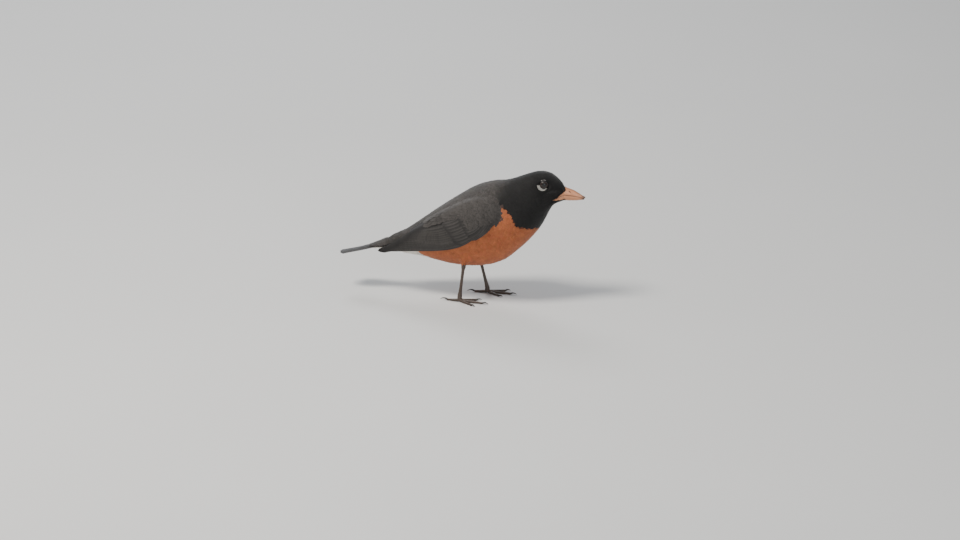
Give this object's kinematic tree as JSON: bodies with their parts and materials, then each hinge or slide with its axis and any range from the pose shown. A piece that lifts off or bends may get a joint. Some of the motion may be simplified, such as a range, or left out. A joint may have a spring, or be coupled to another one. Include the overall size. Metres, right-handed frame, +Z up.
{
  "type": "american robin",
  "caption": "Life-size still model of an American robin standing on both feet with its body held low, wings folded and head turned a little to its left.",
  "frame": {"origin": "middle of the model's box, on the floor it stands on", "axes": "+X towards the bill, +Y towards the bird's left, +Z up"},
  "size_m": [0.216, 0.0638, 0.1152],
  "materials": {
    "rust_breast": "rust-orange breast feathers, white lower belly; matt",
    "grey_mantle": "grey-brown feathers, matt",
    "sooty_hood": "sooty black feathers, matt with a faint sheen",
    "slate_wing": "dark grey-brown flight feathers with paler edges, matt",
    "dark_tail": "blackish tail feathers, small white corners, matt",
    "dark_eye": "very dark brown, wet gloss",
    "horn_bill": "orange-yellow horn with a dusky tip, satin",
    "scaled_leg": "dark brown scaled skin, satin",
    "dark_claw": "blackish horn, satin"
  },
  "bodies": {
    "root": {"bill_lower": "horn_bill", "bill_upper": "horn_bill", "claw_hallux_left": "dark_claw", "claw_hallux_right": "dark_claw", "claw_inner_left": "dark_claw", "claw_inner_right": "dark_claw", "claw_middle_left": "dark_claw", "claw_middle_right": "dark_claw", "claw_outer_left": "dark_claw", "claw_outer_right": "dark_claw", "eye_left": "dark_eye", "eye_right": "dark_eye", "foot_left": "scaled_leg", "foot_right": "scaled_leg", "head": "sooty_hood", "neck": "grey_mantle", "primaries_left": "slate_wing", "primaries_right": "slate_wing", "shank_left": "scaled_leg", "shank_right": "scaled_leg", "tail": "dark_tail", "thigh_left": "rust_breast", "thigh_right": "rust_breast", "trunk": "rust_breast", "wing_left": "slate_wing", "wing_right": "slate_wing"}
  },
  "joints": []
}
